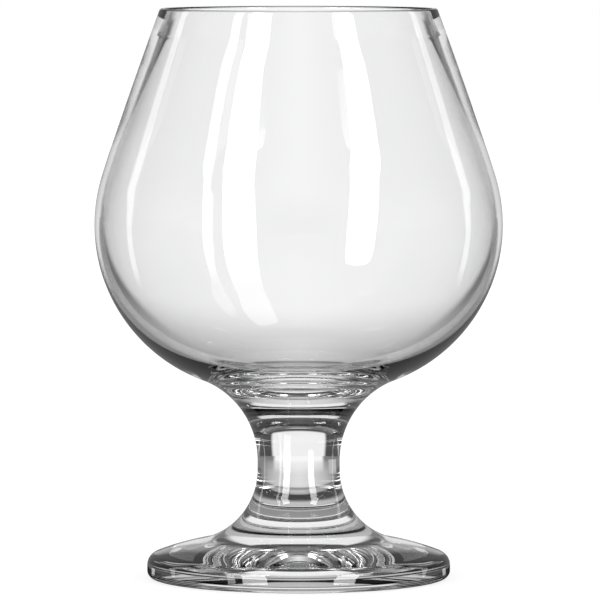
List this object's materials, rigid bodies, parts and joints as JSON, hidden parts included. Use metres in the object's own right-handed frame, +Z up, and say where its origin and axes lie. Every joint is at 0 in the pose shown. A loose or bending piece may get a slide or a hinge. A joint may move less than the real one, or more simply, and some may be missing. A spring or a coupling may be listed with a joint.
{
  "type": "brandy snifter",
  "caption": "Clear footed drinking glass with a wide belly that narrows to a straight-sided mouth, on a short waisted stem and a round crowned foot.",
  "frame": {"origin": "centre of the ring that the foot rests on, at table level", "axes": "+Z up along the glass's axis of revolution, towards the mouth; X and Y are level and alike"},
  "size_m": [0.0902, 0.0902, 0.126],
  "materials": {
    "clear_glass": "fire-polished soda-lime glass, clear and colourless"
  },
  "bodies": {
    "root": {"bowl": "clear_glass", "stem": "clear_glass", "foot": "clear_glass"}
  },
  "joints": []
}
